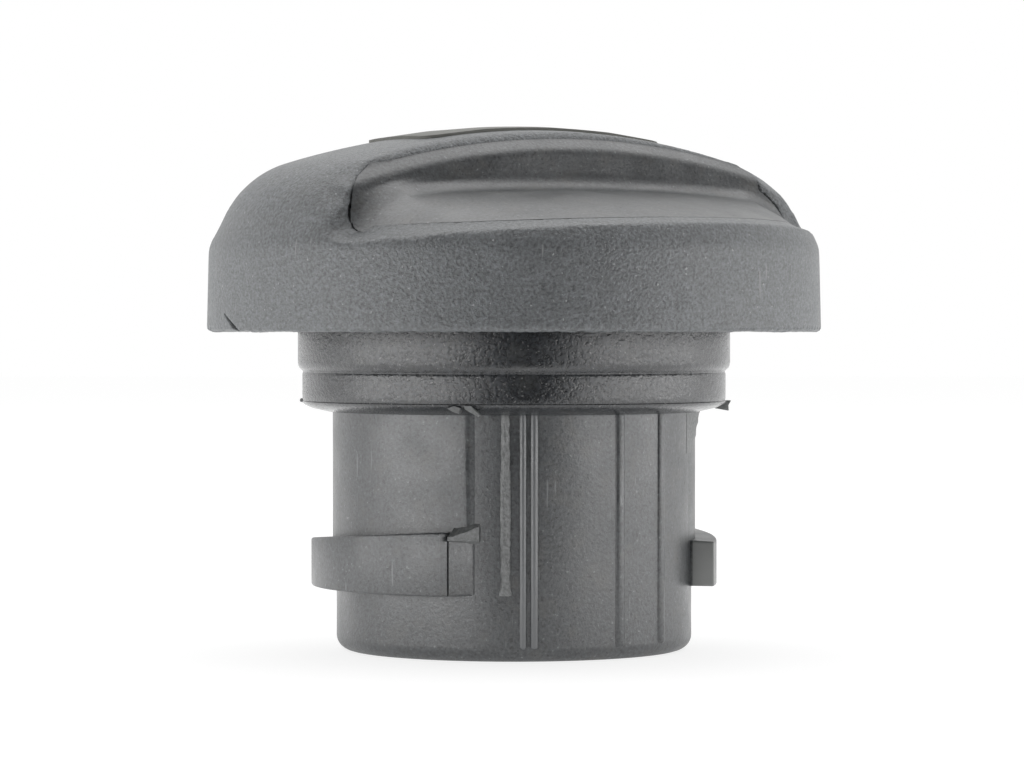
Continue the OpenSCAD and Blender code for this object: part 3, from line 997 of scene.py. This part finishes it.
def raised_pad():
    """The pad above the lug, with a ramp at its start and a slope at its end."""
    def move(r, azimuth, z):
        if azimuth > 0:
            azimuth -= 360
        if r > PLUG_R and azimuth > PAD_END:
            r = PAD_R - (azimuth - PAD_END) / PAD_SLOPE * (PAD_R - PLUG_R + 0.05)
        if r > PLUG_R and azimuth < PAD_START + PAD_RAMP:
            r = PAD_R - (PAD_START + PAD_RAMP - azimuth) / PAD_RAMP * (PAD_R - PLUG_R + 0.02)
        return r, azimuth, z

    block = ring_part("pad", IN_WALL_R, PAD_R, LUG_FOOT + 0.1, COLLAR_FOOT + 0.2,
                      PAD_START, LUG_END + LUG_RUNOUT - 0.5, 100)
    return shape(block, move)


def plain_land():
    """The low land between the pad and the mould line."""
    return ring_part("land", IN_WALL_R, PLUG_R + LAND_RISE, LUG_FOOT, COLLAR_FOOT + 0.2,
                     LAND_START, LAND_END, 14)


def torn_line(first, last, height):
    """The torn mould line: a rough strip on the plug that gets wider at its foot."""
    low, high, rows = LUG_FOOT, COLLAR_FOOT + 0.1, 120
    side = [(PLUG_R + height, low + (high - low) * i / rows) for i in range(rows + 1)]
    line = draw_line("torn_line", [(IN_WALL_R, low)] + side + [(IN_WALL_R, high)],
                     closed="face")
    spin_round(line, 10, last - first)
    turn(line, first - 90)
    middle = (first + last) / 2

    def move(r, azimuth, z):
        half = abs(azimuth - middle) / (last - first) * 2
        if r > PLUG_R:
            r += (0.10 * pattern.noise(Vector((azimuth * 2.2, z * 3.1, 5)))
                  + 0.10 * pattern.noise(Vector((azimuth * 0.9, z * 0.8, 9)))
                  - 0.22 * half ** 4)
        foot = max(0, 1 - (z - low) / 1.0)
        spread = (0.86 + 0.45 * foot + 0.10 * math.cos((z - 14) / 3.2)
                  + 0.22 * pattern.noise(Vector((half, z * 1.4, 2))))
        return r, middle + (azimuth - middle) * spread, z

    return shape(line, move)


def lug_lip():
    """The torn, sloping top of the lug's run-out."""
    low = LUG_FOOT + LUG_THICK - 1.4

    def move(r, azimuth, z):
        share = (azimuth - LUG_SCORE) / (LUG_END + LUG_RUNOUT - LUG_SCORE)
        rough = pattern.noise(Vector((azimuth * 1.3, r, 4)))
        if r > PLUG_R:
            r = PLUG_R + 0.45 + (LUG_R - 0.55 - PLUG_R) * (1 - share)
            z = low + (0.85 + 0.95 * share + 0.16 * rough if z > low + 0.1 else 0.6)
        elif z > low + 0.1:
            z = low + 2.0 + 0.5 * share + 0.12 * rough
        return r, azimuth, z

    block = ring_part("lug_lip", PLUG_R - SUNK, LUG_R, low, low + 0.5, LUG_SCORE + 0.35,
                      LUG_END + LUG_RUNOUT + 0.4, 18)
    return shape(block, move)


def side_fin():
    """A sliver of flash on the plug's right side under the collar."""
    rows = [FIN_FOOT + FIN_STEP * i for i in range(11)]
    fin = draw_line("fin", [(IN_WALL_R, rows[0])] + [(PLUG_R + 1, z) for z in rows]
                    + [(IN_WALL_R, rows[-1])], closed="face")
    spin_round(fin, 12, FIN_SPREAD)
    turn(fin, FIN_START - 90)

    def move(r, azimuth, z):
        if r > PLUG_R:
            rise = min(1, max(0, (azimuth - FIN_START) / FIN_RAMP)) ** 1.3
            up = max(0, z - FIN_FOOT) / (10 * FIN_STEP)
            height = 0.25 + 0.62 * up ** 1.5 + 0.05 * math.sin(5 * z)
            r = PLUG_R + 0.02 + height * rise
        return r, azimuth, z

    return shape(fin, move)


def score_line():
    """The knife-thin line between the lug's face and its run-out."""
    return ring_part("score", LUG_R - SCORE_DEEP, LUG_R + 1, LUG_FOOT - 1, LUG_FOOT + 8,
                     LUG_SCORE - SCORE_HALF, LUG_SCORE + SCORE_HALF, 2)


def round_rib(azimuth, width, height):
    """A rib of round section, with its lower end rounded off."""
    radius = ((width / 2) ** 2 + height * height) / (2 * height)
    centre = PLUG_R + height - radius
    length = COLLAR_FOOT + 0.2 - RIB_FOOT
    deselect()
    bpy.ops.mesh.primitive_cylinder_add(
        vertices=48, radius=radius * MM, depth=length * MM,
        location=(centre * math.sin(math.radians(azimuth)) * MM,
                  -centre * math.cos(math.radians(azimuth)) * MM,
                  (RIB_FOOT + length / 2) * MM))
    rib = bpy.context.object
    bpy.ops.object.transform_apply(location=True, rotation=True, scale=True)
    return bevel(rib, height, 3, 60)


def torn_flash():
    """The torn mould lines, lips and fin on the hard moulding, as one piece."""
    pieces = []
    for piece in (torn_line(*TORN_LINE), lug_lip()):
        pieces += [piece, turn(copy_of(piece, "torn"), 180)]
    return joined(pieces + [side_fin()], "torn_flash")


def hard_core():
    """The hard moulding: body, windows in the scoops, lugs, pads, land and ribs."""
    core = core_body()
    top = knob_top()
    for degrees in (0, 180):
        window = copy_of(top, "window_top")
        block = window_block(WINDOW_FOOT + CORE_LIFT, WINDOW_R - CORE_INSET)
        combine(window, turn(block, degrees), "INTERSECT")
        combine(core, window, "UNION")
    bpy.data.objects.remove(top)
    cutter = scoop_cutter()
    for vert in cutter.data.vertices:
        vert.co.z += CORE_PROUD * MM
    on_both_sides(core, cutter)
    across, along, roof = GRIP_HOLLOW
    deselect()
    bpy.ops.mesh.primitive_cube_add(size=1, location=(0, 0, (PLUG_ROOF - 1 + roof) / 2 * MM))
    hollow = bpy.context.object
    hollow.scale = (2 * across * MM, 2 * along * MM, (roof - PLUG_ROOF + 1) * MM)
    combine(core, turn(hollow, GRIP_TURN - 90))
    on_both_sides(core, raised_pad(), "UNION")
    on_both_sides(core, plain_land(), "UNION")
    on_both_sides(core, cam_lug(), "UNION")
    on_both_sides(core, score_line())
    for azimuth, width, height in ROUND_RIBS:
        on_both_sides(core, round_rib(azimuth, width, height), "UNION")
    return core


def shade(piece, angle=30):
    """Smooth shading, but for the edges that are sharper than that angle."""
    deselect()
    piece.select_set(True)
    bpy.context.view_layer.objects.active = piece
    bpy.ops.object.shade_smooth_by_angle(angle=math.radians(angle))


def dress(piece, node_name, material):
    """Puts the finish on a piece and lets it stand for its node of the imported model."""
    piece.data.materials.clear()
    piece.data.materials.append(material)
    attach(piece, "root")
    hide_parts(node_name)


add_camera()
add_world()
add_floor()
add_softboxes()
bpy.context.scene.view_settings.view_transform = "Standard"

core = hard_core()
shade(core)
dress(core, "plug_core", satin_plastic())

torn = torn_flash()
shade(torn, 40)
# Pale torn plastic: whitened tears, and painted light on the shaded lug lips and fin
dress(torn, "plug_core",
      torn_and_painted_light_finish("torn_plastic_painted_light", (0.155, 0.16, 0.16), 0.12))

cover = cut_slit(wear_edges(soften(knob_cover(), COVER_VOXEL, "knob_cover")))
dress(cover, "soft_cover", speckled_rubber())

collar = seal_collar()
shade(collar)
dress(collar, "soft_cover", collar_rubber())

flash = collar_flash()
shade(flash)
dress(flash, "soft_cover",
      torn_and_painted_light_finish("torn_rubber", (0.12, 0.125, 0.125), 0.08))

finish_node("top_pad", bare_pad())
